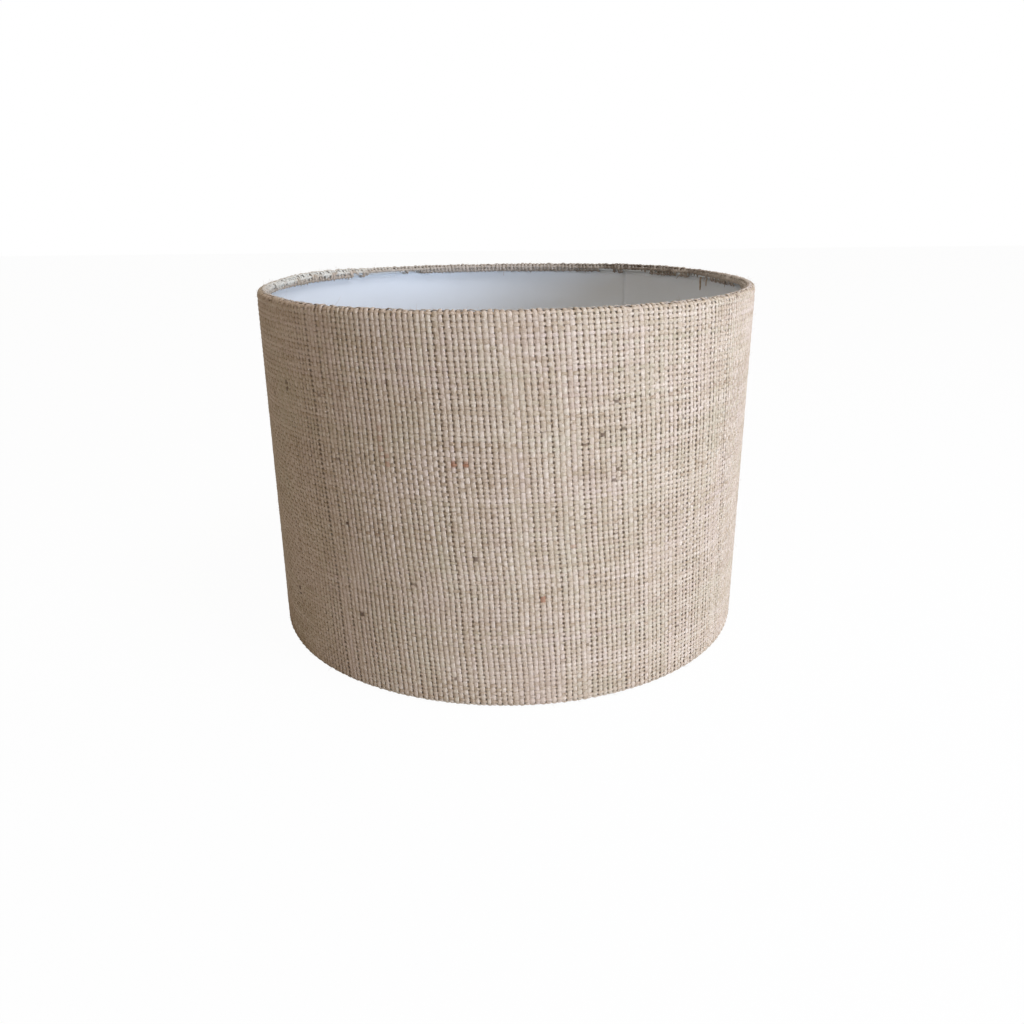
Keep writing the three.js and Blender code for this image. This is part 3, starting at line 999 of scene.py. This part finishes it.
# smooth finishes: cloud is a noise's scale, detail and roughness, colours are ramp stops over it,
# grain is a noise's scale, then the strength and depth of its relief
smoothFinishes = {
    "linerPlastic": {
        "cloud": (9, 3, 0.5), "colours": [(0.3, (0.78, 0.79, 0.80)), (0.7, (0.82, 0.83, 0.84))],
        "glued": (0.58, 0.44, 0.32),  # glue and fibre on the face behind the cloth
        "roughness": [(0.3, (0.42, 0.42, 0.42)), (0.7, (0.52, 0.52, 0.52))],
        "grain": (900, 0.15, 0.05 * mm),
    },
    "coatedWire": {
        "cloud": (60, 3, 0.5), "colours": [(0.3, (0.74, 0.73, 0.70)), (0.65, (0.83, 0.83, 0.81))],
        "roughness": 0.34, "coat": 0.25, "grain": (700, 0.25, 0.06 * mm),
    },
    "mouldedWhite": {
        "cloud": (80, 2, 0.5), "colours": [(0.3, (0.82, 0.82, 0.80)), (0.7, (0.87, 0.87, 0.85))],
        "roughness": 0.42, "grain": (2600, 0.2, 0.04 * mm),
    },
    "stickyTape": {
        "cloud": (220, 3, 0.6), "colours": [(0.35, (0.55, 0.52, 0.44)), (0.65, (0.72, 0.69, 0.60))],
        "roughness": 0.3, "grain": (None, 0.3, 0.1 * mm),
    },
}


def smoothMaterial(name):
    material, tree, shader = newMaterial(name)
    finish = smoothFinishes[name]
    place = objectPlace(tree)
    cloud = addNoise(tree, place, *finish["cloud"])
    colour = addRamp(tree, cloud, finish["colours"])
    if "glued" in finish:
        colour = addMix(tree, pointValue(tree, "glued"), colour, finish["glued"])
    tree.links.new(colour, shader.inputs["Base Color"])
    if isinstance(finish["roughness"], list):
        tree.links.new(addRamp(tree, cloud, finish["roughness"]), shader.inputs["Roughness"])
    else:
        shader.inputs["Roughness"].default_value = finish["roughness"]
    shader.inputs["Coat Weight"].default_value = finish.get("coat", 0)
    scale, strength, depth = finish["grain"]
    grain = addNoise(tree, place, scale, 2, 0.5) if scale else cloud
    addBump(tree, grain, strength, depth, shader)
    return material


def setMaterial(piece, material):
    piece.data.materials.clear()
    piece.data.materials.append(material)


# Studio

studio = {
    "floorSize": 8.0,
    "floorGlow": 0.97,  # how far the floor is lifted to white where the camera sees it
    "roomLight": (0.33, 0.29, 0.235),  # warm light from all round
    # direction round from +x and rise above level in degrees, distance, size, watts, colour
    "lamps": {
        "window": (-42, 3, 1.9, 0.9, 53, (0.60, 0.75, 1.0)),
        "sky": (-30, 60, 1.9, 0.9, 19.6, (0.85, 0.90, 1.0)),
    },
    "aim": Vector((0, 0, 0.1)),
}
camera = {
    "distance": 3.7188,  # from the axis, in radii of the shade
    "height": 0.3311,  # above the upper rim, in radii
    "tilt": 19.97,
    "roll": 0.60,
    "lens": 30.64,
    "shift": 0.004,
}


def setCamera():
    data = bpy.data.cameras.new("camera")
    data.lens = camera["lens"]
    data.sensor_width = 36
    data.shift_x = camera["shift"]
    data.clip_start = 0.01
    eye = bpy.data.objects.new("camera", data)
    bpy.context.scene.collection.objects.link(eye)
    eye.location = (0, -camera["distance"] * shadeRadius, shadeHeight + camera["height"] * shadeRadius)
    turn = Matrix.Rotation(math.radians(90 - camera["tilt"]), 3, "X") @ Matrix.Rotation(
        math.radians(-camera["roll"]), 3, "Z")
    eye.rotation_euler = turn.to_euler()
    bpy.context.scene.camera = eye


def addLamp(name, side, rise, far, size, power, colour):
    data = bpy.data.lights.new(name, "AREA")
    data.shape = "DISK"
    data.size = size
    data.energy = power
    data.color = colour
    light = bpy.data.objects.new(name, data)
    bpy.context.scene.collection.objects.link(light)
    turn, lift = math.radians(side), math.radians(rise)
    away = Vector((math.cos(lift) * math.cos(turn), math.cos(lift) * math.sin(turn), math.sin(lift)))
    light.location = far * away + studio["aim"]
    light.rotation_euler = (-away).to_track_quat("-Z", "Y").to_euler()


def makeFloor():
    size = studio["floorSize"] / 2
    mesh = bpy.data.meshes.new("floor")
    corners = [(-size, -size, 0), (size, -size, 0), (size, size, 0), (-size, size, 0)]
    mesh.from_pydata(corners, [], [(0, 1, 2, 3)])
    floor = linkMesh("floor", mesh)
    floor.location.z = cadLow.z - 0.4 * mm
    material, tree, shader = newMaterial("paleFloor")
    setInputs(shader, {"Base Color": (0.88, 0.88, 0.88, 1), "Roughness": 0.9})
    seen = addNode(tree, "ShaderNodeLightPath").outputs["Is Camera Ray"]
    glowing = addMath(tree, "MULTIPLY", seen, studio["floorGlow"])
    below = addNode(tree, "ShaderNodeNewGeometry").outputs["Backfacing"]
    surface = shader.outputs[0]
    for share, kind in ((glowing, "Emission"), (below, "BsdfTransparent")):  # clear from underneath
        other = addNode(tree, "ShaderNode" + kind).outputs[0]
        mixed = addNode(tree, "ShaderNodeMixShader")
        linkInputs(tree, mixed, (share, surface, other))
        surface = mixed.outputs[0]
    tree.links.new(surface, tree.nodes["Material Output"].inputs["Surface"])
    setMaterial(floor, material)


def setRoom():
    world = bpy.data.worlds.new("studio")
    world.use_nodes = True
    tree = world.node_tree
    seen = addNode(tree, "ShaderNodeLightPath").outputs["Is Camera Ray"]
    colour = addMix(tree, seen, studio["roomLight"], (1.0, 1.0, 1.0))
    tree.links.new(colour, tree.nodes["Background"].inputs["Color"])
    bpy.context.scene.world = world
    bpy.context.scene.view_settings.view_transform = "Standard"


# Assembly

setCamera()
makeFloor()
setRoom()
for name, lamp in studio["lamps"].items():
    addLamp(name, *lamp)
print("stage: studio set")

warp = weaveWarp()
weft = weaveWeft()
print("stage: cloth woven,", len(warp.data.polygons) + len(weft.data.polygons), "faces")
fibres = makeFuzz()
looseThreads = makeThreads()
print("stage: fibres and threads added")
linerPiece = makeLiner()
topWire = makeRing("top_wire", "top_ring")
baseWire = makeRing("base_wire", "bottom_ring")
arms = [makeArm(i + 1, angle) for i, angle in enumerate(armAngles)]
washer = makeWasher()
reducer = makeReducer()
print("stage: liner, frame and fitter made")

setMaterial(warp, juteMaterial("juteWarp", 2400, 480))
setMaterial(weft, juteMaterial("juteWeft", 480, 2400))
setMaterial(fibres, juteMaterial("juteFibre", 900, 900, woven=False))
setMaterial(looseThreads, juteMaterial("juteThread", 2600, 400, woven=False))
setMaterial(linerPiece, smoothMaterial("linerPlastic"))
coated = smoothMaterial("coatedWire")
for piece in (topWire, baseWire, washer, *arms):
    setMaterial(piece, coated)
setMaterial(reducer, smoothMaterial("mouldedWhite"))
sticky = smoothMaterial("stickyTape")
for node in ("seam_tape", "top_ring_tape", "bottom_ring_tape"):
    setMaterial(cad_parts[node], sticky)
print("stage: finishes set")

for piece, slot, nodes in (
    (warp, "jute", ["jute_cover"]),
    (weft, "jute", []),
    (fibres, "jute", []),
    (looseThreads, "jute", []),
    (linerPiece, "liner", ["liner"]),
    (topWire, "wire", ["top_ring"]),
    (baseWire, "wire", ["bottom_ring"]),
    (arms[0], "wire", ["fitter_arm_1"]),
    (arms[1], "wire", ["fitter_arm_2"]),
    (arms[2], "wire", ["fitter_arm_3"]),
    (washer, "wire", ["fitter_washer"]),
):
    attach(piece, "shade")
    if nodes:
        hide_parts(*nodes)
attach(reducer, "reducer")
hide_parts("reducer_ring")
